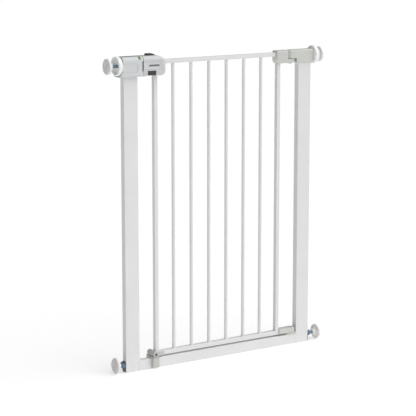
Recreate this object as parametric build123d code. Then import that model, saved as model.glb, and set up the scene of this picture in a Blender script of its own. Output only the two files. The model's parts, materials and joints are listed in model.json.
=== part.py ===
from build123d import *
import os
from math import atan2, cos, degrees, hypot, pi, radians, sin

# Pressure-fit safety gate for a doorway or a stair head.
# A U-shaped steel frame is wedged between two walls by four threaded spindles.
# Inside it a barred leaf turns on a two-pin hinge at the right and latches at the left.
# Millimetres. X runs along the gate, +Y is the far side, +Z is up.
# The origin lies on the floor, midway between the walls at the narrowest setting.

# ---- driving dimensions ----
WALL_TO_WALL = 730.0     # narrowest opening the gate fits
LEFT_REACH = 50.0        # left post to the left wall
RIGHT_REACH = 40.0       # right post to the right wall
LOWER_LEFT_REACH = 32.4  # the lower left spindle is screwed further in
POST_W = 45.0
POST_D = 20.0
BASE_H = 30.0
TUBE_WALL = 1.2
POST_TOP = 898.0
UPPER_AXIS_Z = 884.0
LOWER_AXIS_Z = 23.3

# ---- leaf ----
LEAF_PITCH = 60.2        # spacing of stiles and bars
LEAF_CENTRE = 1.0
LEAF_W = 12.0            # section of the leaf's tubes, seen from the front
LEAF_D = 14.0            # and from the side
LEAF_LOW = 36.0
LEAF_HIGH = 896.5
BAR_R = 5.0
BAR_COUNT = 6

# ---- hinge ----
HINGE_X = 256.5
HINGE_PIN_R = 3.0
RUNNING = 0.06           # radial clearance of a pin that turns
BRACKET_D = 28.0
BRACKET_LOW = 864.0
BRACKET_HIGH = 902.0

# ---- lock housing and handle ----
CASE_LOW = 853.0
CASE_HIGH = 910.0
CASE_WALL = 2.4
CASE_TOP_R = 13.0
CASE_LOW_R = 7.0
HOUSING_D = 48.0
HANDLE_D = 46.0
SPLIT_Y = -8.0           # plane where front and rear shells meet
SEAM = 2.5               # gap between housing and handle

# ---- spindles ----
ROD_R = 5.0
ROD_CLEAR = 0.1
THREAD_PITCH = 3.0
THREAD_DEPTH = 0.6
WHEEL_R = 27.4
PAD_R = 22.8

# ---- derived places ----
LEFT_WALL = -WALL_TO_WALL / 2
RIGHT_WALL = WALL_TO_WALL / 2
LEFT_OUT = LEFT_WALL + LEFT_REACH
LEFT_IN = LEFT_OUT + POST_W
RIGHT_OUT = RIGHT_WALL - RIGHT_REACH
RIGHT_IN = RIGHT_OUT - POST_W
STILE_LEFT = LEAF_CENTRE - LEAF_PITCH * (BAR_COUNT + 1) / 2
STILE_RIGHT = LEAF_CENTRE + LEAF_PITCH * (BAR_COUNT + 1) / 2
HOUSING_LEFT = LEFT_OUT - 8.0
HOUSING_RIGHT = LEFT_IN + 11.0
HANDLE_LEFT = HOUSING_RIGHT + SEAM
HANDLE_RIGHT = HANDLE_LEFT + 69.5


# ---- small helpers ----
def block(x0, x1, y0, y1, z0, z1):
    """A box from its lowest to its highest corner."""
    centre = Pos((x0 + x1) / 2, (y0 + y1) / 2, (z0 + z1) / 2)
    return centre * Box(abs(x1 - x0), abs(y1 - y0), abs(z1 - z0))


def rod_x(x0, x1, y, z, r):
    return Pos((x0 + x1) / 2, y, z) * Rot(0, 90, 0) * Cylinder(r, abs(x1 - x0))


def rod_y(x, y0, y1, z, r):
    return Pos(x, (y0 + y1) / 2, z) * Rot(90, 0, 0) * Cylinder(r, abs(y1 - y0))


def rod_z(x, y, z0, z1, r):
    return Pos(x, y, (z0 + z1) / 2) * Cylinder(r, abs(z1 - z0))


def turned_x(points, x0, z, sense=1):
    """A body turned about an axis along X. points are (distance outwards from x0, radius)."""
    outline = Polyline(*[(x0 + sense * a, r, 0) for a, r in points], close=True)
    return Pos(0, 0, z) * revolve(make_face(outline), Axis.X)


def edges_along(part, axis, keep=lambda edge: True):
    return [e for e in part.edges().filter_by(axis) if keep(e)]


def save(name, *solids):
    """Writes one node. Several solids are kept apart in one compound."""
    shape = solids[0] if len(solids) == 1 else Compound(children=list(solids))
    found = shape.solids()
    shape = found[0] if len(found) == 1 else Compound(children=list(found))
    export_step(shape, f"parts/{name}.step")


# ---- frame ----
def upright_tube(x0, x1, depth, z0, z1, corner=1.5, wall=TUBE_WALL):
    outer = block(x0, x1, -depth / 2, depth / 2, z0, z1)
    outer = fillet(edges_along(outer, Axis.Z), corner)
    inner = block(x0 + wall, x1 - wall, -depth / 2 + wall, depth / 2 - wall, z0 - 1, z1 + 1)
    return outer - inner


def level_tube(x0, x1, depth, z0, z1, corner=1.5, wall=TUBE_WALL):
    outer = block(x0, x1, -depth / 2, depth / 2, z0, z1)
    outer = fillet(edges_along(outer, Axis.X), corner)
    inner = block(x0 - 1, x1 + 1, -depth / 2 + wall, depth / 2 - wall, z0 + wall, z1 - wall)
    return outer - inner


def post_end_plug(x0, x1):
    """Plastic plug that closes a post's foot."""
    slack, height = TUBE_WALL + 0.05, 11.0
    half = POST_D / 2 - slack
    plug = block(x0 + slack, x1 - slack, -half, half, 0, height)
    rib, floor = 1.6, 2.4
    return plug - block(x0 + slack + rib, x1 - slack - rib, -half + rib, half - rib, floor, height + 1)


BUSH_R = 6.5
CASE_SCREW_XS = (LEFT_OUT + 11.0, LEFT_IN - 11.0)
CASE_SCREW_Z = 865.0
CASE_SCREW_R = 2.0


def left_post():
    post = upright_tube(LEFT_OUT, LEFT_IN, POST_D, 0, POST_TOP)
    for z in (UPPER_AXIS_Z, LOWER_AXIS_Z):
        post -= rod_x(LEFT_OUT - 1, LEFT_OUT + 3, 0, z, BUSH_R)
    post -= rod_x(LEFT_IN - 3, LEFT_IN + 1, 0, LOWER_AXIS_Z, ROD_R + 0.3)
    for x in CASE_SCREW_XS:
        post -= rod_y(x, POST_D / 2 - 3, POST_D / 2 + 1, CASE_SCREW_Z, CASE_SCREW_R)
    return post


def right_post():
    post = upright_tube(RIGHT_IN, RIGHT_OUT, POST_D, 0, POST_TOP)
    for z in (UPPER_AXIS_Z, LOWER_AXIS_Z):
        post -= rod_x(RIGHT_OUT - 3, RIGHT_OUT + 1, 0, z, BUSH_R)
    return post - rod_x(RIGHT_IN - 1, RIGHT_IN + 3, 0, LOWER_AXIS_Z, ROD_R + 0.3)


def guide_bush(outer_face, sense, z):
    """Flanged plastic bush in a post's outer wall. sense points out of the post."""
    flange, flange_r, length = 2.0, 11.0, 12.0
    bore = ROD_R + ROD_CLEAR
    points = [
        (-length, bore),
        (-length, BUSH_R),
        (0, BUSH_R),
        (0, flange_r),
        (flange, flange_r),
        (flange, bore),
    ]
    return turned_x(points, outer_face, z, sense)


def base_end_bush(outer_face, sense, z):
    """Bush whose oblong flange covers the frame's bottom corner. sense points out of the post."""
    flange, half_w, low, high, length = 2.0, 9.0, 2.0, 33.0, 12.0
    bush = rod_x(outer_face - sense * length, outer_face + sense * flange, 0, z, BUSH_R)
    plate = block(outer_face, outer_face + sense * flange, -half_w, half_w, low, high)
    bush += fillet(edges_along(plate, Axis.X), 3.0)
    return bush - rod_x(outer_face - 20, outer_face + 20, 0, z, ROD_R + ROD_CLEAR)


# ---- spindles, wheels, nuts and pads ----
PAD_FACE_R = 20.8
PAD_FACE_T = 2.0
PAD_DISC_T = 7.5
PAD_HUB_END = 18.5
SPIGOT_R = 4.0


def pad_shell(wall, sense, z):
    """Plastic foot that presses on the wall. sense points from the wall to the gate."""
    seat = PAD_FACE_T - 0.8
    bore = SPIGOT_R + ROD_CLEAR
    points = [
        (seat, PAD_FACE_R + 0.1),
        (seat, PAD_R - 0.6),
        (seat + 0.6, PAD_R),
        (PAD_DISC_T - 1.2, PAD_R),
        (PAD_DISC_T, PAD_R - 1.4),
        (PAD_DISC_T + 1.6, 14.0),
        (PAD_DISC_T + 3.2, 11.5),
        (PAD_HUB_END - 1.0, 8.2),
        (PAD_HUB_END, 7.2),
        (PAD_HUB_END, bore),
        (PAD_DISC_T - 1.0, bore),
        (PAD_DISC_T - 1.0, 1.6),
        (PAD_FACE_T, 1.6),
        (PAD_FACE_T, PAD_FACE_R + 0.1),
    ]
    return turned_x(points, wall, z, sense)


def pad_face(wall, sense, z):
    """Soft disc on the foot, with a centre hole and three moulded pips."""
    points = [
        (0, 1.6),
        (0, PAD_FACE_R - 0.6),
        (0.6, PAD_FACE_R),
        (PAD_FACE_T, PAD_FACE_R),
        (PAD_FACE_T, 1.6),
    ]
    face = turned_x(points, wall, z, sense)
    pip_circle, pip_r, pip_depth = 13.0, 1.3, 0.6
    for k in range(3):
        angle = radians(90 + 120 * k)
        y, dz = pip_circle * cos(angle), pip_circle * sin(angle)
        face -= rod_x(wall - sense, wall + sense * pip_depth, y, z + dz, pip_r)
    return face


def threaded_rod(wall, sense, z, inner_end):
    """Spindle with a plain spigot for the foot and ring grooves along the rest.
    inner_end is the distance from the wall to the end inside the post."""
    start = PAD_DISC_T - 0.8
    shoulder = PAD_HUB_END + 0.2
    points = [(start, 0), (start, SPIGOT_R), (shoulder, SPIGOT_R), (shoulder, ROD_R)]
    turns = int((inner_end - shoulder - 3.0) // THREAD_PITCH)
    for k in range(turns):
        at = shoulder + 1.5 + THREAD_PITCH * k
        points += [
            (at, ROD_R),
            (at + 0.7, ROD_R - THREAD_DEPTH),
            (at + 1.4, ROD_R - THREAD_DEPTH),
            (at + 2.1, ROD_R),
        ]
    points += [(inner_end - 1.0, ROD_R), (inner_end, ROD_R - 1.0), (inner_end, 0)]
    return turned_x(points, wall, z, sense)


WHEEL_T = 13.5
WHEEL_GAP = 0.5
WHEEL_WEB = 3.5
WHEEL_SHOULDER = (6.0, 8.0)  # rounding of the back edge, along the axis and across it


def hand_wheel(outer_face, clear_of, sense, z):
    """Dished adjusting wheel with a scalloped rim. Its hub bears on the guide bush.
    clear_of is the distance from the post's outer face to the wheel's back."""
    back = clear_of
    front = back + WHEEL_T
    floor = back + WHEEL_WEB
    bore = ROD_R + ROD_CLEAR
    along, across = WHEEL_SHOULDER
    shoulder = [
        (back + along * (1 - cos(a)), WHEEL_R - across * (1 - sin(a)))
        for a in (radians(15 * k) for k in range(7))
    ]
    points = [
        (2.2, bore),
        (2.2, 8.5),
        (back, 8.5),
        *shoulder,
        (front - 1.5, WHEEL_R),
        (front, WHEEL_R - 1.5),
        (front, WHEEL_R - 3.5),
        (front - 1.0, WHEEL_R - 4.5),
        (floor, WHEEL_R - 5.0),
        (floor, 9.5),
        (floor + 2.5, 8.8),
        (floor + 2.5, bore),
    ]
    wheel = turned_x(points, outer_face, z, sense)
    scallops, scallop_r, bite = 20, 3.0, 1.0
    for k in range(scallops):
        angle = 2 * pi * k / scallops
        reach = WHEEL_R + scallop_r - bite
        cutter = rod_x(
            outer_face + sense * (back - 1),
            outer_face + sense * (front + 1),
            reach * cos(angle),
            z + reach * sin(angle),
            scallop_r,
        )
        wheel -= cutter
    return wheel


def adjusting_nut(outer_face, sense, z):
    """Hexagon nut with a flange, on the lower spindle."""
    start, flange_t, height, across = 2.2, 2.0, 9.0, 17.0
    corner_r = across / 2 / cos(pi / 6)
    hexagon = extrude(Plane.YZ * RegularPolygon(corner_r, 6), height)
    hexagon = hexagon.moved(Location((start if sense > 0 else -start - height, 0, 0)))
    end = start + height
    cone = [(start, 0), (start, 12), (end - 2, 12), (end, 8.4), (end, 0)]
    flange = [(start, 0), (start, 10.8), (start + flange_t, 9.2), (start + flange_t, 0)]
    body = hexagon & turned_x(cone, 0, 0, sense)
    body += turned_x(flange, 0, 0, sense)
    body -= rod_x(-30, 30, 0, 0, ROD_R + ROD_CLEAR)
    return Pos(outer_face, 0, z) * body


# ---- lock housing on the left post ----
def case_profile(depth, low, high, inset=0.0):
    """Cross-section of housing and handle, flat at the front and rounded at the top."""
    half = depth / 2 - inset
    top_r, low_r = CASE_TOP_R - inset, max(CASE_LOW_R - inset, 1.0)
    face = Plane.YZ * Pos(0, (low + high) / 2) * Rectangle(2 * half, high - low - 2 * inset)
    middle = (low + high) / 2
    face = fillet([v for v in face.vertices() if v.Z > middle], top_r)
    return fillet([v for v in face.vertices() if v.Z < low + inset + 1], low_r)


def along_x(face, x0, x1):
    return extrude(face, x1 - x0, dir=(1, 0, 0)).moved(Location((x0, 0, 0)))


NOTCH_LOW, NOTCH_HIGH, NOTCH_T = 868.0, 897.0, 3.5
BOLT_Y0, BOLT_Y1, BOLT_Z0, BOLT_Z1 = -7.0, 1.0, 876.0, 888.0
WINDOW_X0, WINDOW_X1 = HOUSING_RIGHT - 15.5, HOUSING_RIGHT - 7.0
WINDOW_CENTRE = (-HOUSING_D / 2 + CASE_TOP_R, CASE_HIGH - CASE_TOP_R)
WINDOW_SPAN = (94, 160)  # degrees about the housing's front top rounding, from +Y
DRUM_R = 10.2
DRUM_TURN = 68
DRUM_HUB_SPAN = (60, 163)


def arc_strip(x0, x1, r0, r1, from_deg, to_deg):
    """A strip bent about the housing's front top rounding, from r0 to r1."""
    y, z = WINDOW_CENTRE
    ring = rod_x(x0, x1, y, z, r1) - rod_x(x0 - 1, x1 + 1, y, z, r0)
    reach = 3 * r1
    corners = [(0, 0)] + [
        (reach * cos(radians(a)), reach * sin(radians(a)))
        for a in (from_deg, (from_deg + to_deg) / 2, to_deg)
    ]
    wedge = make_face(Polyline(*[(0, y + a, z + b) for a, b in corners], close=True))
    return ring & along_x(wedge, x0 - 1, x1 + 1)


def lock_housing():
    """Both shells as one, before they are split."""
    end_wall, chin = 8.0, 4.0
    outer = along_x(case_profile(HOUSING_D, CASE_LOW, CASE_HIGH), HOUSING_LEFT - chin, HOUSING_RIGHT)
    inner = along_x(
        case_profile(HOUSING_D, CASE_LOW, CASE_HIGH, CASE_WALL),
        HOUSING_LEFT + CASE_WALL,
        HOUSING_RIGHT - end_wall,
    )
    body = outer - inner
    # room for the adjusting wheel, which leaves a chin below it
    body -= rod_x(HOUSING_LEFT - chin - 1, HOUSING_LEFT, 0, UPPER_AXIS_Z, WHEEL_R + 1.2)
    body -= block(HOUSING_LEFT - chin - 1, HOUSING_LEFT, -30, 30, 872, CASE_HIGH + 5)
    body -= rod_x(HOUSING_LEFT - 1, HOUSING_LEFT + CASE_WALL + 1, 0, UPPER_AXIS_Z, 11.4)
    # the post comes in from below
    half = POST_D / 2 + 0.2
    body -= block(LEFT_OUT - 0.2, LEFT_IN + 0.2, -half, half, CASE_LOW - 1, CASE_LOW + 20)
    # the notch and pocket that take the latch bolt
    body -= block(HOUSING_RIGHT - NOTCH_T, HOUSING_RIGHT + 1, -30, 30, NOTCH_LOW, NOTCH_HIGH)
    body -= block(
        HOUSING_RIGHT - end_wall - 1, HOUSING_RIGHT,
        BOLT_Y0 - 0.6, BOLT_Y1 + 0.6, BOLT_Z0 - 0.6, BOLT_Z1 + 0.6,
    )
    # the window over the tension indicator
    body -= arc_strip(WINDOW_X0, WINDOW_X1, DRUM_R - 2.4, 20.0, *WINDOW_SPAN)
    # the room for the indicator drum's end
    body -= rod_x(HOUSING_RIGHT - end_wall - 1, WINDOW_X1 + 0.9, *WINDOW_CENTRE, DRUM_R + 0.3)
    # shallow panel with a round end on the front
    panel_low, panel_high, panel_end, panel_depth = 866.0, 891.0, HOUSING_RIGHT - 17.0, 1.3
    panel = block(HOUSING_LEFT - 1, panel_end, -30, -HOUSING_D / 2 + panel_depth, panel_low, panel_high)
    ends = [e for e in panel.edges().filter_by(Axis.Y) if e.center().X > panel_end - 1]
    body -= fillet(ends, 8.0)
    return body


def housing_bosses():
    """Rear bosses that meet the post, for the two fixing screws."""
    bosses = []
    for x in CASE_SCREW_XS:
        boss = rod_y(x, POST_D / 2 + 0.2, HOUSING_D / 2 - CASE_WALL, CASE_SCREW_Z, 4.5)
        bosses.append(boss)
    return bosses


def screw_y(x, z, tip, head_at, shank_r, head_r, head_t=2.2, sense=1):
    """Cross-head screw along Y. sense is 1 where the head faces +Y."""
    shank = rod_y(x, tip, head_at, z, shank_r)
    head = rod_y(x, head_at, head_at + sense * head_t, z, head_r)
    body = shank + head
    top = head_at + sense * head_t
    slot, slot_w, slot_depth = head_r * 1.3, 0.9, 1.1
    low, high = sorted((top - sense * slot_depth, top + sense))
    body -= block(x - slot / 2, x + slot / 2, low, high, z - slot_w / 2, z + slot_w / 2)
    body -= block(x - slot_w / 2, x + slot_w / 2, low, high, z - slot / 2, z + slot / 2)
    return body


def split_shell(body, front):
    reach = 600
    keep = (
        block(-reach, reach, -60, SPLIT_Y, 0, 1000)
        if front
        else block(-reach, reach, SPLIT_Y, 60, 0, 1000)
    )
    found = (body & keep).solids()
    return max(found, key=lambda s: s.volume)


def lock_housing_front():
    return split_shell(lock_housing(), True)


def lock_housing_rear():
    shell = split_shell(lock_housing(), False)
    for boss in housing_bosses():
        shell += boss
    for x in CASE_SCREW_XS:
        shell -= rod_y(x, 0, 40, CASE_SCREW_Z, CASE_SCREW_R + 0.1)
        shell -= rod_y(x, HOUSING_D / 2 - 1.8, 40, CASE_SCREW_Z, 4.1)
    return shell


def indicator_sector(from_deg, to_deg):
    return arc_strip(WINDOW_X0 - 0.5, WINDOW_X1 + 0.5, DRUM_R - 2.0, DRUM_R, from_deg, to_deg)


def indicator_hub():
    """End plate and stub axle that carry the two coloured sectors."""
    y, z = WINDOW_CENTRE
    plate = arc_strip(WINDOW_X0 - 1.7, WINDOW_X0 - 0.5, 0.5, DRUM_R, *DRUM_HUB_SPAN)
    return plate + rod_x(WINDOW_X0 - 1.7, WINDOW_X0 + 4, y, z, 0.9)


# ---- leaf ----
BARREL_X, BARREL_Z, BARREL_R, BARREL_HALF = -220.5, 42.0, 9.0, 20.0
SCREW_SEAT_Y = -BARREL_HALF + 8.0
LUG_RIGHT = -189.0


def leaf_stile(x, coped):
    stile = upright_tube(x - LEAF_W / 2, x + LEAF_W / 2, LEAF_D, LEAF_LOW, LEAF_HIGH)
    if coped:
        stile -= rod_y(BARREL_X, -30, 30, BARREL_Z, BARREL_R + 0.02)
    return stile


def leaf_rail(z0, z1):
    return level_tube(STILE_LEFT + LEAF_W / 2, STILE_RIGHT - LEAF_W / 2, LEAF_D, z0, z1)


def leaf_bar(index):
    x = STILE_LEFT + LEAF_PITCH * index
    low, high, bar_wall = LEAF_LOW + LEAF_W, LEAF_HIGH - LEAF_W, 1.0
    return rod_z(x, 0, low, high, BAR_R) - rod_z(x, 0, low - 1, high + 1, BAR_R - bar_wall)


def catch_barrel():
    """Cross bush in the leaf's lower corner, which drops into the base bar's cradle."""
    barrel = rod_y(BARREL_X, -BARREL_HALF, BARREL_HALF, BARREL_Z, BARREL_R)
    rims = [e for e in barrel.edges().filter_by(GeomType.CIRCLE)]
    barrel = fillet(rims, 1.2)
    front = -LEAF_D / 2
    lug_low, lug_high, lug_t = BARREL_Z - 7.0, BARREL_Z + 3.0, 4.0
    barrel += block(BARREL_X + 6, LUG_RIGHT, front - lug_t, front - 0.02, BARREL_Z - 5, lug_high)
    barrel += block(STILE_LEFT + 1, LUG_RIGHT, front - lug_t, front - 0.02, lug_low, lug_high)
    barrel -= rod_y(BARREL_X, -BARREL_HALF - 1, SCREW_SEAT_Y, BARREL_Z, 4.5)
    return barrel - rod_y(BARREL_X, -BARREL_HALF, BARREL_HALF - 8, BARREL_Z, 2.5)


def catch_screw():
    return screw_y(BARREL_X, BARREL_Z, BARREL_HALF - 8.2, SCREW_SEAT_Y, 2.45, 4.1, 2.4, -1)


def base_catch():
    """Saddle clipped over the base bar, with a cradle across its top for the barrel."""
    half_w, half_d, low, high = 10.4, 21.5, 3.0, 35.6
    body = block(BARREL_X - half_w, BARREL_X + half_w, -half_d, half_d, low, high)
    body = fillet(edges_along(body, Axis.Z), 2.0)
    rims = [e for e in body.edges().filter_by(Axis.X) if e.center().Z < low + 1]
    body = fillet(rims, 2.5)
    body -= block(-300, -150, -POST_D / 2 - 0.1, POST_D / 2 + 0.1, -1, BASE_H + 0.05)
    return body - rod_y(BARREL_X, -30, 30, BARREL_Z, BARREL_R + 0.7)


# ---- hinge ----
KNUCKLE_R = 13.5
SHELF_TOP = 875.5
NOSE_LOW = 876.8
NOSE_R = 14.0
GATE_BLOCK_RIGHT = HINGE_X - 16.0
POST_BLOCK_LEFT = HINGE_X + 15.5


def hinge_gate_bracket():
    """Leaf side of the upper hinge: a clamp on the stile with a round shelf for the pin."""
    half = BRACKET_D / 2
    left = STILE_RIGHT - LEAF_W / 2 - 6.0
    body = block(left, GATE_BLOCK_RIGHT, -half, half, BRACKET_LOW, BRACKET_HIGH)
    body = fillet([e for e in edges_along(body, Axis.X) if e.center().Z > BRACKET_HIGH - 1], 5.0)
    body = fillet([e for e in edges_along(body, Axis.Z) if e.center().X < left + 1], 5.0)
    corner = make_face(Polyline((left, 0, 875), (left, 0, 863), (left + 7, 0, 863), close=True))
    body -= extrude(corner, 30, dir=(0, 1, 0), both=True)
    shelf = block(GATE_BLOCK_RIGHT - 2, HINGE_X, -KNUCKLE_R, KNUCKLE_R, BRACKET_LOW, SHELF_TOP)
    shelf += rod_z(HINGE_X, 0, BRACKET_LOW, SHELF_TOP, KNUCKLE_R)
    body += shelf
    slack = 0.1
    x0, x1 = STILE_RIGHT - LEAF_W / 2 - slack, STILE_RIGHT + LEAF_W / 2 + slack
    body -= block(x0, x1, -LEAF_D / 2 - slack, LEAF_D / 2 + slack, 860, LEAF_HIGH + slack)
    rail_low = LEAF_HIGH - LEAF_W - slack
    body -= block(left - 1, x0 + 1, -LEAF_D / 2 - slack, LEAF_D / 2 + slack, rail_low, LEAF_HIGH + slack)
    body -= block(x1 + 3, GATE_BLOCK_RIGHT - 3, -half + 3, half - 3, 860, BRACKET_HIGH - 4)
    return body - rod_z(HINGE_X, 0, 860, SHELF_TOP + 1, HINGE_PIN_R)


def hinge_post_bracket():
    """Post side of the upper hinge: a cap over the post with a nose above the shelf."""
    half = BRACKET_D / 2
    right = RIGHT_OUT + 6.5
    body = block(POST_BLOCK_LEFT, right, -half, half, BRACKET_LOW, BRACKET_HIGH)
    nose = block(HINGE_X, POST_BLOCK_LEFT + 2, -NOSE_R, NOSE_R, NOSE_LOW, BRACKET_HIGH)
    nose += rod_z(HINGE_X, 0, NOSE_LOW, BRACKET_HIGH, NOSE_R)
    body = fillet([e for e in edges_along(body, Axis.X) if e.center().Z > BRACKET_HIGH - 1], 5.0)
    rims = [
        e
        for e in nose.edges()
        if e.center().Z > BRACKET_HIGH - 0.1 and e.center().X < POST_BLOCK_LEFT + 1
    ]
    nose = fillet(rims, 4.0)
    body += nose
    slack = 0.1
    body -= block(
        RIGHT_IN - slack, RIGHT_OUT + slack, -POST_D / 2 - slack, POST_D / 2 + slack, 860, POST_TOP + slack
    )
    body -= rod_x(RIGHT_OUT - 1, right + 1, 0, UPPER_AXIS_Z, 11.4)
    return body - rod_z(HINGE_X, 0, 870, POST_TOP, HINGE_PIN_R + RUNNING)


def upper_hinge_pin():
    head_t, head_r = 3.0, 5.5
    pin = rod_z(HINGE_X, 0, BRACKET_LOW - head_t, POST_TOP - 1, HINGE_PIN_R)
    return pin + rod_z(HINGE_X, 0, BRACKET_LOW - head_t, BRACKET_LOW, head_r)


ARM_LOW, ARM_HIGH = 37.0, 51.5
ARM_HALF_D = 12.0
FOOT_TOP = 36.0


def lower_hinge_arm():
    """Leaf side of the lower hinge, fixed to the stile and reaching almost to the post."""
    left = STILE_RIGHT + LEAF_W / 2
    body = block(left, HINGE_X + 19.5, -ARM_HALF_D, ARM_HALF_D, ARM_LOW, ARM_HIGH)
    body = fillet(edges_along(body, Axis.Z, lambda e: e.center().X > HINGE_X), 6.0)
    body = fillet(edges_along(body, Axis.Z, lambda e: e.center().X < HINGE_X), 3.0)
    rims = [e for e in body.edges() if e.center().Z > ARM_HIGH - 0.1]
    body = fillet(rims, 2.8)
    return body - rod_z(HINGE_X, 0, ARM_LOW - 1, ARM_HIGH - 2.5, HINGE_PIN_R + RUNNING)


def lower_hinge_foot():
    """Frame side of the lower hinge, in the corner of base bar and post."""
    body = block(HINGE_X, RIGHT_IN, -ARM_HALF_D, ARM_HALF_D, BASE_H, FOOT_TOP)
    body += rod_z(HINGE_X, 0, BASE_H, FOOT_TOP, ARM_HALF_D)
    return body - rod_z(HINGE_X, 0, BASE_H - 1, FOOT_TOP + 1, HINGE_PIN_R)


def lower_hinge_pin():
    return rod_z(HINGE_X, 0, BASE_H, ARM_HIGH - 3.5, HINGE_PIN_R)


# ---- handle on the leaf ----
TRIGGER_X0, TRIGGER_X1 = HANDLE_LEFT + 13.0, HANDLE_LEFT + 39.0
TRIGGER_TOP, TRIGGER_TRAVEL = 868.0, 5.0
CRANK = (HANDLE_LEFT + 30.5, 868.0)
BOLT_TRAVEL = 10.0
BOLT_PIN = (CRANK[0] + BOLT_TRAVEL / 2, 882.0)
TRIGGER_PIN = (CRANK[0] - 7.0, CRANK[1] + TRIGGER_TRAVEL / 2)
LINK_PIN_R = 1.5
CRANK_Y0, CRANK_Y1 = 2.0, 5.0
HANDLE_SCREWS = ((HANDLE_LEFT + 8.5, 862.0), (HANDLE_RIGHT - 8.0, 871.0))
SLIDER_X0 = HANDLE_LEFT + 18.5
SPRING_X, SPRING_Y = HANDLE_LEFT + 18.5, -14.0
SPRING_TOP = 890.0
GROOVE_W, GROOVE_DEPTH = 2.2, 1.1


def handle_solid(inset, left, right):
    """The handle's outer form, or its inside when inset is the wall."""
    form = along_x(case_profile(HANDLE_D, CASE_LOW, CASE_HIGH, inset), left, right)
    slab = block(left, right, -40, 40, CASE_LOW + inset, CASE_HIGH - inset)
    high = edges_along(slab, Axis.Y, lambda e: e.center().X > right - 1 and e.center().Z > 880)
    slab = fillet(high, 23.0 - inset)
    low = edges_along(slab, Axis.Y, lambda e: e.center().X > right - 1 and e.center().Z < 860)
    return form & fillet(low, 14.0 - inset)


def groove_outline(inset):
    """A slab inside the handle's outline by inset, open towards the seam."""
    right = HANDLE_RIGHT - inset
    back = -HANDLE_D / 2 + GROOVE_DEPTH
    slab = block(HANDLE_LEFT + 3.5, right, -40, back, CASE_LOW + inset, CASE_HIGH - inset)
    ends = edges_along(slab, Axis.Y, lambda e: e.center().X > right - 0.1)
    slab = fillet([e for e in ends if e.center().Z > CASE_HIGH - inset - 0.1], 23.0 - inset)
    ends = edges_along(slab, Axis.Y, lambda e: e.center().X > right - 0.1)
    return fillet([e for e in ends if e.center().Z < CASE_LOW + inset + 0.1], max(14.0 - inset, 3.0))


def contour_groove(inset):
    return groove_outline(inset) - Pos(-GROOVE_W, 0, 0) * groove_outline(inset + GROOVE_W)


def handle_case():
    body = handle_solid(0.0, HANDLE_LEFT, HANDLE_RIGHT)
    body -= handle_solid(CASE_WALL, HANDLE_LEFT + CASE_WALL, HANDLE_RIGHT - CASE_WALL)
    slack = 0.15
    body -= block(
        STILE_LEFT - LEAF_W / 2 - slack, STILE_LEFT + LEAF_W / 2 + slack,
        -LEAF_D / 2 - slack, LEAF_D / 2 + slack, CASE_LOW - 1, CASE_LOW + 10,
    )
    body -= block(
        HANDLE_RIGHT - 6, HANDLE_RIGHT + 1, -LEAF_D / 2 - slack, LEAF_D / 2 + slack,
        LEAF_HIGH - LEAF_W - slack, LEAF_HIGH + slack,
    )
    # openings for bolt, trigger and slider
    body -= block(
        HANDLE_LEFT - 1, HANDLE_LEFT + 5,
        BOLT_Y0 - 0.3, BOLT_Y1 + 0.3, BOLT_Z0 - 0.3, BOLT_Z1 + 0.3,
    )
    body -= block(TRIGGER_X0 - 0.5, TRIGGER_X1 + 0.5, -40, 1.3, CASE_LOW - 1, TRIGGER_TOP + 0.5)
    body -= block(SLIDER_X0 + 8.7, SLIDER_X0 + 24.0, -3.3, 3.3, CASE_HIGH - 5, CASE_HIGH + 1)
    for inset in (6.5, 12.0, 17.5):
        body -= contour_groove(inset)
    return body


def handle_boss_pair(x, z, front):
    if front:
        return rod_y(x, -HANDLE_D / 2 + CASE_WALL - 0.5, SPLIT_Y, z, 3.6)
    return rod_y(x, SPLIT_Y, HANDLE_D / 2 - CASE_WALL + 0.5, z, 3.6)


def handle_front_shell():
    shell = split_shell(handle_case(), True)
    inner_front = -HANDLE_D / 2 + CASE_WALL - 0.5
    shell += block(SPRING_X - 5, SPRING_X + 5, inner_front, -9, SPRING_TOP, SPRING_TOP + 2)
    for x, z in HANDLE_SCREWS:
        shell += handle_boss_pair(x, z, True)
        shell -= rod_y(x, -18, 0, z, 1.85)
    return shell


def handle_rear_shell():
    shell = split_shell(handle_case(), False)
    for x, z in HANDLE_SCREWS:
        shell += handle_boss_pair(x, z, False)
        shell -= rod_y(x, -20, 40, z, 1.9)
        shell -= rod_y(x, HANDLE_D / 2 - 2.0, 40, z, 3.4)
    x, z = CRANK
    shell += rod_y(x, CRANK_Y1 + 0.6, HANDLE_D / 2 - CASE_WALL + 0.5, z, 4.5)
    return shell - rod_y(x, 0, HANDLE_D / 2 - CASE_WALL, z, 2.0)


def latch_bolt():
    body = block(HANDLE_LEFT, BOLT_PIN[0] + 2.5, BOLT_Y0, BOLT_Y1, BOLT_Z0, BOLT_Z1)
    nose = [e for e in edges_along(body, Axis.Z) if e.center().X < HANDLE_LEFT + 0.1]
    body = chamfer(nose, 2.0)
    return body + rod_y(BOLT_PIN[0], BOLT_Y1 - 1, CRANK_Y1 + 0.3, BOLT_PIN[1], LINK_PIN_R)


def release_trigger():
    body = block(TRIGGER_X0, TRIGGER_X1, -HANDLE_D / 2 + 0.2, 0.8, CASE_LOW + 2.3, TRIGGER_TOP)
    body = fillet(edges_along(body, Axis.Y), 1.5)
    grips, grip_depth = 3, 0.5
    for k in range(grips):
        z = CASE_LOW + 5.2 + 3.2 * k
        floor = -HANDLE_D / 2 + 0.2 + grip_depth
        body -= block(TRIGGER_X0 + 3, TRIGGER_X1 - 3, -40, floor, z, z + 1.0)
    x, z = TRIGGER_PIN
    body += block(x - 2.2, x + 2.2, -3, 0.8, TRIGGER_TOP - 2, z + 2.0)
    body -= rod_z(SPRING_X, SPRING_Y, TRIGGER_TOP - 5, TRIGGER_TOP + 1, 4.2)
    return body + rod_y(x, 0, CRANK_Y1 + 0.3, z, LINK_PIN_R)


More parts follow.
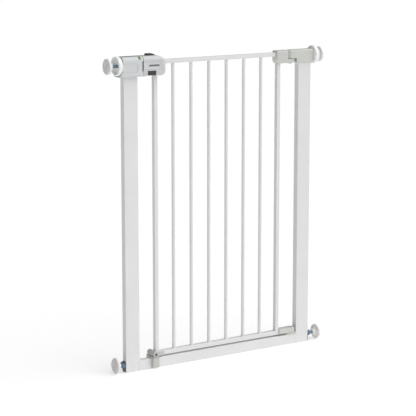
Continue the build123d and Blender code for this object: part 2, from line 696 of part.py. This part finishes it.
def radial_slot(angle, r0, r1, width):
    """A slot along a ray from the crank's centre."""
    x, z = CRANK
    rays = [Pos(x + r * cos(angle), 0, z + r * sin(angle)) for r in (r0, r1)]
    ends = [p * Rot(90, 0, 0) * Cylinder(width / 2, 20) for p in rays]
    middle = (r0 + r1) / 2
    bridge = Box(r1 - r0, 20, width)
    place = Pos(x + middle * cos(angle), 0, z + middle * sin(angle)) * Rot(0, -degrees(angle), 0)
    return ends[0] + ends[1] + place * bridge


def bell_crank():
    """Turns the trigger's lift into the bolt's travel. Both pins run in radial slots."""
    x, z = CRANK
    slab = block(x - 25, x + 25, CRANK_Y0, CRANK_Y1, z - 25, z + 25)
    body = rod_y(x, CRANK_Y0, CRANK_Y1, z, 4.4)
    slots = []
    for pin, arm_w in ((BOLT_PIN, 7.4), (TRIGGER_PIN, 7.0)):
        angle = atan2(pin[1] - z, pin[0] - x)
        reach = hypot(pin[0] - x, pin[1] - z)
        body += radial_slot(angle, 0, reach, arm_w) & slab
        slots.append(radial_slot(angle, reach - 0.9, reach + 0.2, 2 * LINK_PIN_R + 0.7))
    for slot in slots:
        body -= slot
    return body - rod_y(x, 0, 10, z, 2.0 + RUNNING)


def crank_pin():
    x, z = CRANK
    return rod_y(x, CRANK_Y0 - 1.0, HANDLE_D / 2 - CASE_WALL, z, 1.98)


def safety_slider():
    """Wedge under the thumb, with a stem through the handle's top."""
    x, low, high = SLIDER_X0, CASE_HIGH + 0.3, CASE_HIGH + 5.2
    outline = [(x, low), (x, high - 1.6), (x + 2, high), (x + 17, high), (x + 28, low)]
    side = make_face(Polyline(*[(a, 0, b) for a, b in outline], close=True))
    wedge = extrude(side, 9, dir=(0, 1, 0), both=True)
    tops = [e for e in wedge.edges() if e.center().Z > low + 0.5 and abs(e.center().Y) > 8.9]
    wedge = fillet(tops, 1.2)
    for k in range(4):
        at = x + 4 + 3 * k
        wedge -= block(at, at + 1.2, -7, 7, high - 0.7, high + 1)
    stem = block(x + 9, x + 17, -3, 3, CASE_HIGH - 6.5, low + 1)
    foot = block(x + 6, x + 20, -6, 6, CASE_HIGH - 6.5, CASE_HIGH - 2.8)
    return wedge + stem + foot


def trigger_spring():
    """Compression spring between the trigger and the rib in the front shell."""
    wire, radius = 0.45, 3.2
    low, high = TRIGGER_TOP - 5 + wire, SPRING_TOP - wire
    turns = 6
    coil = Helix(pitch=(high - low) / turns, height=high - low, radius=radius)
    path = Pos(SPRING_X, SPRING_Y, low) * coil
    start = path @ 0
    section = Plane(origin=start, z_dir=path % 0) * Circle(wire)
    return sweep(section, path=path, is_frenet=True)


def handle_screws():
    return [screw_y(x, z, -16.0, HANDLE_D / 2 - 2.0, 1.8, 3.3, 1.8) for x, z in HANDLE_SCREWS]


def housing_screws():
    return [
        screw_y(x, CASE_SCREW_Z, POST_D / 2 - 2.0, HOUSING_D / 2 - 1.8, CASE_SCREW_R - 0.05, 4.0, 1.8)
        for x in CASE_SCREW_XS
    ]


# ---- build ----
def build_frame():
    save("left_post", left_post())
    save("right_post", right_post())
    save("base_bar", level_tube(LEFT_IN, RIGHT_IN, POST_D, 0, BASE_H))
    save("post_end_plugs", post_end_plug(LEFT_OUT, LEFT_IN), post_end_plug(RIGHT_IN, RIGHT_OUT))
    save("lock_housing_front", lock_housing_front())
    save("lock_housing_rear", lock_housing_rear())
    save("lock_housing_screws", *housing_screws())
    save("indicator_green", indicator_sector(WINDOW_SPAN[0] - 1, WINDOW_SPAN[1] + 3))
    save("indicator_red", indicator_sector(WINDOW_SPAN[0] - 1 - DRUM_TURN, WINDOW_SPAN[0] - 1))
    save("indicator_hub", indicator_hub())
    save("hinge_post_bracket", hinge_post_bracket())
    save("lower_hinge_foot", lower_hinge_foot())
    save("lower_hinge_pin", lower_hinge_pin())
    save("base_catch", base_catch())


def build_spindles():
    corners = {
        "upper_left": (LEFT_WALL, LEFT_OUT, 1, UPPER_AXIS_Z, 92.0),
        "upper_right": (RIGHT_WALL, RIGHT_OUT, -1, UPPER_AXIS_Z, 82.0),
        "lower_left": (LEFT_OUT - LOWER_LEFT_REACH, LEFT_OUT, 1, LOWER_AXIS_Z, 118.0),
        "lower_right": (RIGHT_WALL, RIGHT_OUT, -1, LOWER_AXIS_Z, 110.0),
    }
    for name, (wall, post, inwards, z, inner_end) in corners.items():
        save(f"{name}_pad_face", pad_face(wall, inwards, z))
        save(f"{name}_pad", pad_shell(wall, inwards, z))
        save(f"{name}_spindle", threaded_rod(wall, inwards, z, inner_end))
        bush = guide_bush if name.startswith("upper") else base_end_bush
        save(f"{name}_guide_bush", bush(post, -inwards, z))
    save("upper_left_wheel", hand_wheel(LEFT_OUT, LEFT_OUT - HOUSING_LEFT + WHEEL_GAP, -1, UPPER_AXIS_Z))
    save("upper_right_wheel", hand_wheel(RIGHT_OUT, 7.0, 1, UPPER_AXIS_Z))
    save("lower_left_nut", adjusting_nut(LEFT_OUT, -1, LOWER_AXIS_Z))
    save("lower_right_nut", adjusting_nut(RIGHT_OUT, 1, LOWER_AXIS_Z))


def build_leaf():
    save("leaf_left_stile", leaf_stile(STILE_LEFT, True))
    save("leaf_right_stile", leaf_stile(STILE_RIGHT, False))
    save("leaf_top_rail", leaf_rail(LEAF_HIGH - LEAF_W, LEAF_HIGH))
    save("leaf_bottom_rail", leaf_rail(LEAF_LOW, LEAF_LOW + LEAF_W))
    for index in range(1, BAR_COUNT + 1):
        save(f"leaf_bar_{index}", leaf_bar(index))
    save("hinge_gate_bracket", hinge_gate_bracket())
    save("upper_hinge_pin", upper_hinge_pin())
    save("lower_hinge_arm", lower_hinge_arm())
    save("catch_barrel", catch_barrel())
    save("catch_screw", catch_screw())


def build_handle():
    save("handle_front_shell", handle_front_shell())
    save("handle_rear_shell", handle_rear_shell())
    save("handle_screws", *handle_screws())
    save("latch_bolt", latch_bolt())
    save("release_trigger", release_trigger())
    save("trigger_spring", trigger_spring())
    save("bell_crank", bell_crank())
    save("crank_pin", crank_pin())
    save("safety_slider", safety_slider())


os.makedirs("parts", exist_ok=True)
build_frame()
build_spindles()
build_leaf()
build_handle()
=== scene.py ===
import json
from math import cos, pi, radians, sin

import bpy
import bmesh
from mathutils import Matrix, Vector


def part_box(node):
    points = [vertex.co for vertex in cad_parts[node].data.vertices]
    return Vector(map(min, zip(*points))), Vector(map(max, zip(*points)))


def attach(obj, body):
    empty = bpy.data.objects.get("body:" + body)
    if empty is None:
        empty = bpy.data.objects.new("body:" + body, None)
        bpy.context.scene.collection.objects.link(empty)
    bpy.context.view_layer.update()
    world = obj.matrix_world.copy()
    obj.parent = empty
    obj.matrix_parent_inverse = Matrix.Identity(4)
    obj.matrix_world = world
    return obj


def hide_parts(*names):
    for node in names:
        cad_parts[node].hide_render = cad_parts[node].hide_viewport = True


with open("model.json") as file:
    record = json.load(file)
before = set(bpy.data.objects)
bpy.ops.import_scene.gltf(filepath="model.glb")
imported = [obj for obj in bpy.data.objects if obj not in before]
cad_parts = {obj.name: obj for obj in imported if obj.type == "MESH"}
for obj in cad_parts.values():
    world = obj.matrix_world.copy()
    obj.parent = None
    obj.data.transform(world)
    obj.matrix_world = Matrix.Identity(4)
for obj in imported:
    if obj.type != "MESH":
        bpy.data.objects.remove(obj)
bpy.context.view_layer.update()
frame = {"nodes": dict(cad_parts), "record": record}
NODES = frame["nodes"]

MM = 0.001  # places are in metres, the outlines turned on an axis in mm


# ---- camera, light and floor ----
CAMERA_AT = (-2.4357, -3.8361, 1.3355)
CAMERA_YAW = 32.076    # degrees to the right of +Y
CAMERA_PITCH = 9.829   # degrees below the horizon
CAMERA_LENS = 136.48   # mm on a 36 mm sensor
CAMERA_SHIFT = -0.08
SUN_TOWARDS = (0.36, -0.5, 1.0)
SUN_STRENGTH = 2.66
SUN_SOFTNESS = 80      # degrees
SKY_COLOUR = (0.97, 0.985, 1.0, 1)
SKY_STRENGTH = 0.15
FLOOR_REACH = 60.0
FLOOR_DROP = 0.0005    # keeps the floor just under the lowest point of the gate
FLOOR_GREY = 0.62
FLOOR_GLOW = 0.48


def make_camera():
    data = bpy.data.cameras.new("camera")
    data.sensor_width = 36
    data.lens = CAMERA_LENS
    data.shift_y = CAMERA_SHIFT
    data.clip_end = 200
    camera = bpy.data.objects.new("camera", data)
    bpy.context.scene.collection.objects.link(camera)
    camera.location = CAMERA_AT
    camera.rotation_euler = (radians(90 - CAMERA_PITCH), 0, -radians(CAMERA_YAW))
    bpy.context.scene.camera = camera


def make_lights():
    """A dim sky and one very soft light from above, the right and the front."""
    world = bpy.data.worlds.new("studio")
    world.use_nodes = True
    background = world.node_tree.nodes["Background"]
    background.inputs["Color"].default_value = SKY_COLOUR
    background.inputs["Strength"].default_value = SKY_STRENGTH
    bpy.context.scene.world = world
    bpy.context.scene.view_settings.view_transform = "Standard"
    data = bpy.data.lights.new("overhead", "SUN")
    data.energy = SUN_STRENGTH
    data.angle = radians(SUN_SOFTNESS)
    sun = bpy.data.objects.new("overhead", data)
    bpy.context.scene.collection.objects.link(sun)
    sun.location = Vector(SUN_TOWARDS).normalized() * 4
    sun.rotation_euler = Vector(SUN_TOWARDS).to_track_quat("Z", "Y").to_euler()


def make_floor():
    """White paper that glows a little, so that it stays white where little light falls."""
    reach = FLOOR_REACH
    mesh = bpy.data.meshes.new("floor")
    corners = [(-reach, -reach, 0), (reach, -reach, 0), (reach, reach, 0), (-reach, reach, 0)]
    mesh.from_pydata(corners, [], [(0, 1, 2, 3)])
    floor = bpy.data.objects.new("floor", mesh)
    bpy.context.scene.collection.objects.link(floor)
    floor.location.z = -FLOOR_DROP
    material = bpy.data.materials.new("floor_paper")
    material.use_nodes = True
    shader = material.node_tree.nodes["Principled BSDF"]
    shader.inputs["Base Color"].default_value = (FLOOR_GREY, FLOOR_GREY, FLOOR_GREY, 1)
    shader.inputs["Emission Color"].default_value = (1, 1, 1, 1)
    shader.inputs["Emission Strength"].default_value = FLOOR_GLOW
    shader.inputs["Roughness"].default_value = 0.9
    shader.inputs["Specular IOR Level"].default_value = 0.1
    mesh.materials.append(material)


# ---- materials ----
def finish_material(name, colour, rough, fleck=0.03, rough_fleck=0.06, grain=900.0, bump=0.03,
                    metal=0.0, coat=0.0, cloud=14.0, stretch=(1, 1, 1)):
    """A surface whose colour, roughness and height all vary a little, at a fine and at a broad scale."""
    material = bpy.data.materials.new(name)
    material.use_nodes = True
    nodes, links = material.node_tree.nodes, material.node_tree.links
    shader = nodes["Principled BSDF"]
    shader.inputs["Metallic"].default_value = metal
    shader.inputs["Coat Weight"].default_value = coat
    shader.inputs["Coat Roughness"].default_value = 0.15
    place = nodes.new("ShaderNodeTexCoord")
    mapping = nodes.new("ShaderNodeMapping")
    mapping.inputs["Scale"].default_value = stretch
    links.new(place.outputs["Object"], mapping.inputs["Vector"])

    def noise(scale, detail):
        node = nodes.new("ShaderNodeTexNoise")
        node.inputs["Scale"].default_value = scale
        node.inputs["Detail"].default_value = detail
        links.new(mapping.outputs["Vector"], node.inputs["Vector"])
        return node.outputs["Fac"]

    fine, broad = noise(grain, 3.0), noise(cloud, 4.0)
    ramp = nodes.new("ShaderNodeValToRGB")
    ramp.color_ramp.elements[0].position = 0.3
    ramp.color_ramp.elements[1].position = 0.7
    ramp.color_ramp.elements[0].color = (*[c * (1 - fleck) for c in colour], 1)
    ramp.color_ramp.elements[1].color = (*[min(c * (1 + fleck), 1) for c in colour], 1)
    links.new(broad, ramp.inputs["Fac"])
    links.new(ramp.outputs["Color"], shader.inputs["Base Color"])
    spread = nodes.new("ShaderNodeMapRange")
    spread.inputs["To Min"].default_value = rough - rough_fleck
    spread.inputs["To Max"].default_value = rough + rough_fleck
    links.new(fine, spread.inputs["Value"])
    links.new(spread.outputs["Result"], shader.inputs["Roughness"])
    relief = nodes.new("ShaderNodeBump")
    relief.inputs["Strength"].default_value = bump
    relief.inputs["Distance"].default_value = 0.0006
    links.new(fine, relief.inputs["Height"])
    links.new(relief.outputs["Normal"], shader.inputs["Normal"])
    return material


WHITE_COAT = (0.762, 0.762, 0.757)
MATERIALS = {
    "frame_coat": dict(colour=WHITE_COAT, rough=0.38, grain=1400, bump=0.12, fleck=0.02, coat=0.15),
    "leaf_coat": dict(colour=WHITE_COAT, rough=0.36, grain=1500, bump=0.10, fleck=0.02, coat=0.15),
    "housing_plastic": dict(colour=(0.645, 0.655, 0.67), rough=0.46, grain=2600, bump=0.2),
    # Dark grey back shell: partly its own darker grey, partly painted shade for the dark strip along the
    # housing's top.
    "housing_back_plastic": dict(colour=(0.165, 0.168, 0.175), rough=0.5, grain=2600, bump=0.2),
    "handle_plastic": dict(colour=(0.65, 0.655, 0.665), rough=0.46, grain=2600, bump=0.2),
    "handle_back_plastic": dict(colour=(0.32, 0.32, 0.33), rough=0.5, grain=2600, bump=0.2),
    "hinge_plastic": dict(colour=(0.60, 0.61, 0.57), rough=0.42, grain=2400, bump=0.15),
    "catch_plastic": dict(colour=(0.55, 0.54, 0.52), rough=0.48, grain=2400, bump=0.15),
    # Near black, darkened as painted shade: the bushes' colour stands in for the shade round the lower
    # wall nuts.
    "bush_plastic": dict(colour=(0.10, 0.10, 0.095), rough=0.5, grain=2400, bump=0.15),
    "wheel_plastic": dict(colour=(0.93, 0.935, 0.93), rough=0.34, grain=1800, bump=0.06, coat=0.2),
    "pad_plastic": dict(colour=(0.85, 0.83, 0.835), rough=0.38, grain=1800, bump=0.08),
    "pad_rubber": dict(colour=(0.78, 0.76, 0.765), rough=0.72, grain=3200, bump=0.35, fleck=0.05),
    "zinc_rod": dict(
        colour=(0.26, 0.36, 0.45), rough=0.32, metal=0.9, grain=700, bump=0.08, fleck=0.16, cloud=60,
        stretch=(3, 1, 1),
    ),
    "zinc_nut": dict(
        colour=(0.17, 0.24, 0.31), rough=0.34, metal=0.9, grain=700, bump=0.08, fleck=0.14, cloud=60,
    ),
    "screw_steel": dict(
        colour=(0.30, 0.33, 0.36), rough=0.32, metal=1.0, grain=900, bump=0.08, fleck=0.1, cloud=80,
    ),
    "pin_steel": dict(
        colour=(0.50, 0.51, 0.52), rough=0.28, metal=1.0, grain=900, bump=0.05, fleck=0.08, cloud=80,
        stretch=(1, 1, 0.1),
    ),
    "latch_steel": dict(
        colour=(0.45, 0.46, 0.47), rough=0.4, metal=0.9, grain=1200, bump=0.15, fleck=0.08, cloud=60,
    ),
    "spring_steel": dict(
        colour=(0.46, 0.47, 0.48), rough=0.25, metal=1.0, grain=900, bump=0.03, fleck=0.06, cloud=120,
    ),
    "button_black": dict(colour=(0.045, 0.045, 0.048), rough=0.48, grain=2600, bump=0.25, fleck=0.2),
    "sign_green": dict(colour=(0.17, 0.37, 0.05), rough=0.3, grain=1800, bump=0.04),
    "sign_red": dict(colour=(0.60, 0.03, 0.03), rough=0.3, grain=1800, bump=0.04),
}


def dress_nodes():
    """Gives every CAD node the material of its slot, and returns the materials by slot."""
    made = {slot: finish_material(slot, **facts) for slot, facts in MATERIALS.items()}
    slot_of = {entry["node"]: entry["material_slot"] for entry in frame["record"]["subparts"]}
    for name, node in NODES.items():
        for index in range(len(node.data.materials)):
            node.data.materials[index] = made[slot_of[name]]
    return made


# ---- mesh helpers ----
def add_piece(name, bm, material, body, stands_for=(), sharp_angle=35):
    """Puts a finished mesh in the scene, riding on a CAD body."""
    bmesh.ops.remove_doubles(bm, verts=bm.verts, dist=1e-6)
    bmesh.ops.dissolve_degenerate(bm, edges=bm.edges, dist=1e-6)
    bmesh.ops.recalc_face_normals(bm, faces=bm.faces)
    mesh = bpy.data.meshes.new(name)
    bm.to_mesh(mesh)
    bm.free()
    mesh.shade_smooth()
    mesh.set_sharp_from_angle(angle=radians(sharp_angle))
    mesh.materials.append(materials[material])
    piece = bpy.data.objects.new(name, mesh)
    bpy.context.scene.collection.objects.link(piece)
    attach(piece, body)
    if stands_for:
        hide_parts(*stands_for)


def rounded_outline(points, radius, steps=3):
    """A closed outline of (distance, radius) points with its corners cut to small arcs."""
    corners = [Vector(p) for p in points]
    outline = []
    for index, corner in enumerate(corners):
        before, after = corners[index - 1], corners[(index + 1) % len(corners)]
        to_before, to_after = before - corner, after - corner
        reach = min(radius, to_before.length * 0.45, to_after.length * 0.45)
        start = corner + to_before.normalized() * reach
        end = corner + to_after.normalized() * reach
        for step in range(steps + 1):
            t = step / steps
            outline.append(start * (1 - t) ** 2 + corner * 2 * t * (1 - t) + end * t ** 2)
    return outline


def lathe(bm, outline, face_x, sense, axis_z, segments=72, ripple=None):
    """Turns a closed outline about an axis along X. Outline in mm, distances counted from face_x.
    ripple(distance, radius, angle) may change the radius."""
    rings = []
    for k in range(segments):
        angle = 2 * pi * k / segments
        ring = []
        for distance, radius in outline:
            r = ripple(distance, radius, angle) if ripple else radius
            at = (face_x + sense * distance * MM, r * MM * cos(angle), axis_z + r * MM * sin(angle))
            ring.append(bm.verts.new(at))
        rings.append(ring)
    for k in range(segments):
        ring, following = rings[k], rings[(k + 1) % segments]
        for i in range(len(outline)):
            j = (i + 1) % len(outline)
            bm.faces.new((ring[i], ring[j], following[j], following[i]))


def box_at(bm, near, far):
    """A box between any two opposite corners, in metres."""
    middle = (Vector(near) + Vector(far)) / 2
    size = [abs(b - a) for a, b in zip(near, far)]
    bmesh.ops.create_cube(bm, size=1, matrix=Matrix.Translation(middle) @ Matrix.Diagonal((*size, 1)))


# ---- spindles, wheels and feet ----
# The way from each wall towards the gate, along X.
CORNERS = {
    "upper_left": 1,
    "upper_right": -1,
    "lower_left": 1,
    "lower_right": -1,
}
# The spindle, in mm.
PITCH = 3.0
ROD_R = 4.98
ROOT_R = 4.1
SPIGOT_R = 3.95
SPIGOT_END = 13.5
END_CHAMFER = 1.2


def axis_height(corner):
    low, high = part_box(f"{corner}_spindle")
    return (low.z + high.z) / 2


def wall_face(corner):
    low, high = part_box(f"{corner}_pad_face")
    return low.x if CORNERS[corner] > 0 else high.x


def thread_radius(phase):
    """Trapezium thread over one turn: crest, flank, root, flank."""
    crest_end, root_start, root_end = 0.3, 0.48, 0.82
    p = phase % 1.0
    if p < crest_end:
        return ROD_R
    if p < root_start:
        return ROD_R + (ROOT_R - ROD_R) * (p - crest_end) / (root_start - crest_end)
    if p < root_end:
        return ROOT_R
    return ROOT_R + (ROD_R - ROOT_R) * (p - root_end) / (1 - root_end)


def spindle(corner):
    """Threaded rod with a true helix. Its rows of points follow the thread."""
    low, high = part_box(f"{corner}_spindle")
    z = axis_height(corner)
    length = (high.x - low.x) / MM
    at_left = CORNERS[corner] > 0
    columns, rows_a_turn = 36, 12
    rows = int(length / PITCH * rows_a_turn) + 2 * rows_a_turn
    bm = bmesh.new()
    grid = []
    for k in range(columns):
        angle = 2 * pi * k / columns
        column = []
        for i in range(rows + rows_a_turn):
            x = min(max((i / rows_a_turn - 1 + k / columns) * PITCH, 0.0), length)
            from_wall_end = x if at_left else length - x
            radius = thread_radius(x / PITCH - k / columns)
            if from_wall_end < SPIGOT_END:
                radius = SPIGOT_R
            radius = min(radius, ROD_R - max(0.0, END_CHAMFER - min(x, length - x)))
            at = (low.x + x * MM, radius * MM * cos(angle), z + radius * MM * sin(angle))
            column.append(bm.verts.new(at))
        grid.append(column)
    for k in range(columns):
        shift = rows_a_turn if k == columns - 1 else 0
        following = grid[(k + 1) % columns]
        for i in range(rows + rows_a_turn - 1 - shift):
            bm.faces.new((grid[k][i], grid[k][i + 1], following[i + 1 + shift], following[i + shift]))
    bmesh.ops.remove_doubles(bm, verts=bm.verts, dist=1e-6)
    bmesh.ops.dissolve_degenerate(bm, edges=bm.edges, dist=1e-6)
    loose_ends = [e for e in bm.edges if len(e.link_faces) == 1]
    bmesh.ops.holes_fill(bm, edges=loose_ends, sides=0)
    add_piece(f"{corner}_thread", bm, "zinc_rod", f"{corner}_spindle", (f"{corner}_spindle",), 30)


def hand_wheel(corner):
    """Dished wheel: ribbed rim with a rounded back, sunk web with low spokes, hub on the spindle."""
    low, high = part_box(f"{corner}_wheel")
    z = axis_height(corner)
    inwards = CORNERS[corner]
    outer_face = low.x if inwards > 0 else high.x
    depth = (high.x - low.x) / MM
    radius = (high.z - low.z) / 2 / MM
    thick, floor = 13.5, 10.0
    shoulder_along, shoulder_across, shoulder_steps = 4.0, 6.5, 8
    shoulder = []
    for step in range(shoulder_steps + 1):
        a = pi / 2 * step / shoulder_steps
        shoulder.append((thick - shoulder_along * (1 - cos(a)), radius - shoulder_across * (1 - sin(a))))
    outline = [
        (depth, 5.1),
        (depth, 8.5),
        (thick, 8.5),
        *shoulder,
        (1.4, radius),
        (0.0, radius - 1.6),
        (0.0, radius - 3.2),
        (1.2, radius - 4.2),
        (floor - 0.8, radius - 5.2),
        (floor, radius - 6.6),
        (floor, 9.8),
        (floor - 2.6, 9.0),
        (floor - 2.6, 5.1),
    ]
    ribs, rib_depth, steps_a_rib = 60, 0.45, 6

    def ribbed(distance, r, angle):
        if r < radius - 0.8 or not 1.0 < distance < thick - 0.6:
            return r
        return r - rib_depth * (0.5 - 0.5 * cos(ribs * angle))

    bm = bmesh.new()
    lathe(bm, rounded_outline(outline, 0.8), outer_face, inwards, z, ribs * steps_a_rib, ribbed)
    spokes, spoke_half = 8, 0.6 * MM
    for k in range(spokes):
        angle = 2 * pi * k / spokes + pi / spokes
        spoke = bmesh.new()
        near = (outer_face + inwards * (floor - 1.6) * MM, 9.4 * MM, -spoke_half)
        far = (outer_face + inwards * (floor + 0.4) * MM, (radius - 5.0) * MM, spoke_half)
        box_at(spoke, near, far)
        spoke.transform(Matrix.Translation((0, 0, z)) @ Matrix.Rotation(angle, 4, "X"))
        mesh = bpy.data.meshes.new("spoke")
        spoke.to_mesh(mesh)
        spoke.free()
        bm.from_mesh(mesh)
        bpy.data.meshes.remove(mesh)
    add_piece(f"{corner}_hand_wheel", bm, "wheel_plastic", f"{corner}_wheel", (f"{corner}_wheel",), 40)


def foot(corner):
    """Moulded foot: rim, hollowed back and long hub, with a soft ringed face."""
    wall, z, inwards = wall_face(corner), axis_height(corner), CORNERS[corner]
    low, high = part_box(f"{corner}_pad")
    inside_cad = 0.01
    radius = (high.z - low.z) / 2 / MM - inside_cad
    shell = [
        (1.3, radius - 1.9),
        (1.3, radius - 0.6),
        (2.2, radius),
        (5.8, radius),
        (7.4, radius - 1.2),
        (7.4, radius - 2.6),
        (6.9, radius - 4.0),
        (8.6, 14.0),
        (10.4, 11.4),
        (13.0, 9.6),
        (17.4, 8.2),
        (18.5, 7.2),
        (18.5, 4.1),
        (6.5, 4.1),
        (6.5, 2.6),
        (2.1, 2.6),
        (2.1, radius - 1.9),
    ]
    bm = bmesh.new()
    lathe(bm, rounded_outline(shell, 0.7), wall, inwards, z, 96)
    add_piece(f"{corner}_foot_shell", bm, "pad_plastic", f"{corner}_foot", (f"{corner}_pad",), 40)
    face_r, face_back, hole_r, groove_depth = 20.8, 1.9, 3.0, 0.5
    face = [(0.6, hole_r), (0.0, hole_r + 0.6)]
    for ring in (7.0, 12.0, 17.0):
        face += [
            (0.0, ring - 0.5),
            (groove_depth, ring - 0.2),
            (groove_depth, ring + 0.2),
            (0.0, ring + 0.5),
        ]
    face += [(0.0, face_r - 0.8), (0.7, face_r), (face_back, face_r), (face_back, hole_r)]
    bm = bmesh.new()
    lathe(bm, face, wall, inwards, z, 96)
    add_piece(f"{corner}_foot_face", bm, "pad_rubber", f"{corner}_foot", (f"{corner}_pad_face",), 60)


def wall_nut(corner):
    """Chamfered hexagon nut over a turned flange."""
    low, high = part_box(f"{corner}_nut")
    z = axis_height(corner)
    inwards = CORNERS[corner]
    outer_face = low.x if inwards > 0 else high.x
    half_flats, half_corners, hexagon_end, flange_end, bore_r = 8.5, 9.82, 7.2, 9.0, 5.1

    def hexagon(distance, r, angle):
        if distance > hexagon_end or r < bore_r + 0.9:
            return r
        to_flat = (angle + pi / 6) % (pi / 3) - pi / 6
        return min(r, half_flats / cos(to_flat))

    outline = [
        (0.0, bore_r),
        (0.0, 8.3),
        (1.1, 9.3),
        (1.2, half_corners),
        (7.1, half_corners),
        (7.3, 9.2),
        (flange_end, 10.75),
        (flange_end, bore_r),
    ]
    bm = bmesh.new()
    lathe(bm, outline, outer_face, inwards, z, 72, hexagon)
    add_piece(f"{corner}_hex_nut", bm, "zinc_nut", f"{corner}_nut", (f"{corner}_nut",), 25)


# ---- spring, welds and badge ----
def return_spring():
    """The trigger's coil spring, with its end turns wound flat."""
    low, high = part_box("trigger_spring")
    middle = (low + high) / 2
    wire = 0.45 * MM
    coil_r = (high.x - low.x) / 2 - wire
    bottom, top = low.z + wire, high.z - wire
    turns, flat_turns, steps, sides = 8.0, 1.2, 40, 8
    free_turns = turns - 2 * flat_turns
    free_height = top - bottom - 2 * flat_turns * wire
    count = int(turns * steps)
    centres = []
    for i in range(count + 1):
        turn = i / steps
        free = min(max(turn - flat_turns, 0), free_turns)
        ends = min(turn, flat_turns) + max(turn - (turns - flat_turns), 0)
        height = bottom + ends * wire + free_height * free / free_turns
        angle = 2 * pi * turn
        centres.append(Vector((middle.x + coil_r * cos(angle), middle.y + coil_r * sin(angle), height)))
    bm = bmesh.new()
    rings = []
    for i, centre in enumerate(centres):
        along = (centres[min(i + 1, count)] - centres[max(i - 1, 0)]).normalized()
        outwards = Vector((centre.x - middle.x, centre.y - middle.y, 0)).normalized()
        across = along.cross(outwards).normalized()
        ring = []
        for k in range(sides):
            a = 2 * pi * k / sides
            ring.append(bm.verts.new(centre + wire * (outwards * cos(a) + across * sin(a))))
        rings.append(ring)
    for ring, following in zip(rings, rings[1:]):
        for k in range(sides):
            bm.faces.new((ring[k], ring[(k + 1) % sides], following[(k + 1) % sides], following[k]))
    bm.faces.new(rings[0])
    bm.faces.new(list(reversed(rings[-1])))
    add_piece("trigger_coil", bm, "spring_steel", "leaf", ("trigger_spring",), 60)


WELD_SUNK = 0.1 * MM   # how far a bar's weld reaches into the bar and the rail


def weld_ring(bm, x, z, upwards, bar_r, size, y_limit):
    """A fillet weld round a bar where it meets a rail, slightly uneven and no deeper than the rail."""
    segments, steps, unevenness = 32, 4, 0.12
    rings = []
    for k in range(segments):
        angle = 2 * pi * k / segments
        throat = size * (1 + unevenness * sin(5 * angle + x * 90))
        ring = []
        for step in range(steps + 1):
            t = step / steps * pi / 2
            r = bar_r - WELD_SUNK + throat * (1 - sin(t))
            h = throat * (1 - cos(t)) - WELD_SUNK
            y = max(min(r * sin(angle), y_limit), -y_limit)
            ring.append(bm.verts.new((x + r * cos(angle), y, z + upwards * h)))
        rings.append(ring)
    for k in range(segments):
        ring, following = rings[k], rings[(k + 1) % segments]
        for i in range(steps):
            bm.faces.new((ring[i], ring[i + 1], following[i + 1], following[i]))


def leaf_welds():
    """Fillets at both ends of the leaf's bars."""
    bars, size, y_limit = 6, 1.5 * MM, 6.9 * MM
    bm = bmesh.new()
    rail_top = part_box("leaf_bottom_rail")[1].z
    rail_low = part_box("leaf_top_rail")[0].z
    for index in range(bars):
        low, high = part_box(f"leaf_bar_{index + 1}")
        x, bar_r = (low.x + high.x) / 2, (high.x - low.x) / 2
        weld_ring(bm, x, rail_top, 1, bar_r, size, y_limit)
        weld_ring(bm, x, rail_low, -1, bar_r, size, y_limit)
    add_piece("leaf_weld_fillets", bm, "leaf_coat", "leaf", (), 60)


def post_welds():
    """Uneven beads where the base bar meets the posts, along its top edge."""
    bm = bmesh.new()
    base_low, base_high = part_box("base_bar")
    half = (base_high.y - base_low.y) / 2 - 0.6 * MM
    steps, arc, size, sunk = 60, 6, 1.6 * MM, 0.05 * MM
    end_fullness, taper_steps, unevenness = 0.15, 4, 0.14
    for x, sense in ((base_low.x, 1), (base_high.x, -1)):
        rows = []
        for i in range(steps + 1):
            y = -half + 2 * half * i / steps
            fullness = min(1.0, end_fullness + min(i, steps - i) / taper_steps)
            bead = size * fullness * (1 + unevenness * sin(i * 1.9))
            row = []
            for k in range(arc + 1):
                a = pi / 2 * k / arc
                along = bead * cos(a) ** 1.3 - sunk
                up = bead * sin(a) ** 1.3 - sunk
                row.append(bm.verts.new((x + sense * along, y, base_high.z + up)))
            row.append(bm.verts.new((x - sense * sunk, y, base_high.z - sunk)))
            rows.append(row)
        for row, following in zip(rows, rows[1:]):
            for k in range(len(row)):
                j = (k + 1) % len(row)
                bm.faces.new((row[k], row[j], following[j], following[k]))
        bm.faces.new(rows[0])
        bm.faces.new(list(reversed(rows[-1])))
    add_piece("frame_weld_beads", bm, "frame_coat", "frame", (), 60)


def handle_badge():
    """Plain oblong inlay on the front of the handle, with rounded ends and a domed face."""
    low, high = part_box("handle_front_shell")
    centre = Vector(((low.x + high.x) / 2 - 2 * MM, low.y, (low.z + high.z) / 2 + 1.5 * MM))
    half_length, half_height, rise = 17.0 * MM, 2.6 * MM, 0.45 * MM
    straight, steps = half_length - half_height, 12
    bm = bmesh.new()
    rings = []
    # Insets from the edge in mm, each with its share of the rise.
    for inset, out in ((0.0, -0.3), (0.0, 0.6), (0.35, 0.95), (0.9, 1.0)):
        reach = half_height - inset * MM
        ring = []
        for end, turn in ((1, -pi / 2), (-1, pi / 2)):
            for step in range(steps + 1):
                a = turn + pi * step / steps
                x = centre.x + end * straight + reach * cos(a)
                ring.append(bm.verts.new((x, centre.y - out * rise, centre.z + reach * sin(a))))
        rings.append(ring)
    for ring, following in zip(rings, rings[1:]):
        for k in range(len(ring)):
            j = (k + 1) % len(ring)
            bm.faces.new((ring[k], ring[j], following[j], following[k]))
    bm.faces.new(rings[0])
    bm.faces.new(list(reversed(rings[-1])))
    add_piece("handle_inlay", bm, "housing_back_plastic", "leaf", (), 30)


# ---- the scene ----
make_camera()
make_lights()
make_floor()
materials = dress_nodes()
for corner in CORNERS:
    spindle(corner)
    foot(corner)
for corner in ("upper_left", "upper_right"):
    hand_wheel(corner)
for corner in ("lower_left", "lower_right"):
    wall_nut(corner)
return_spring()
leaf_welds()
post_welds()
handle_badge()
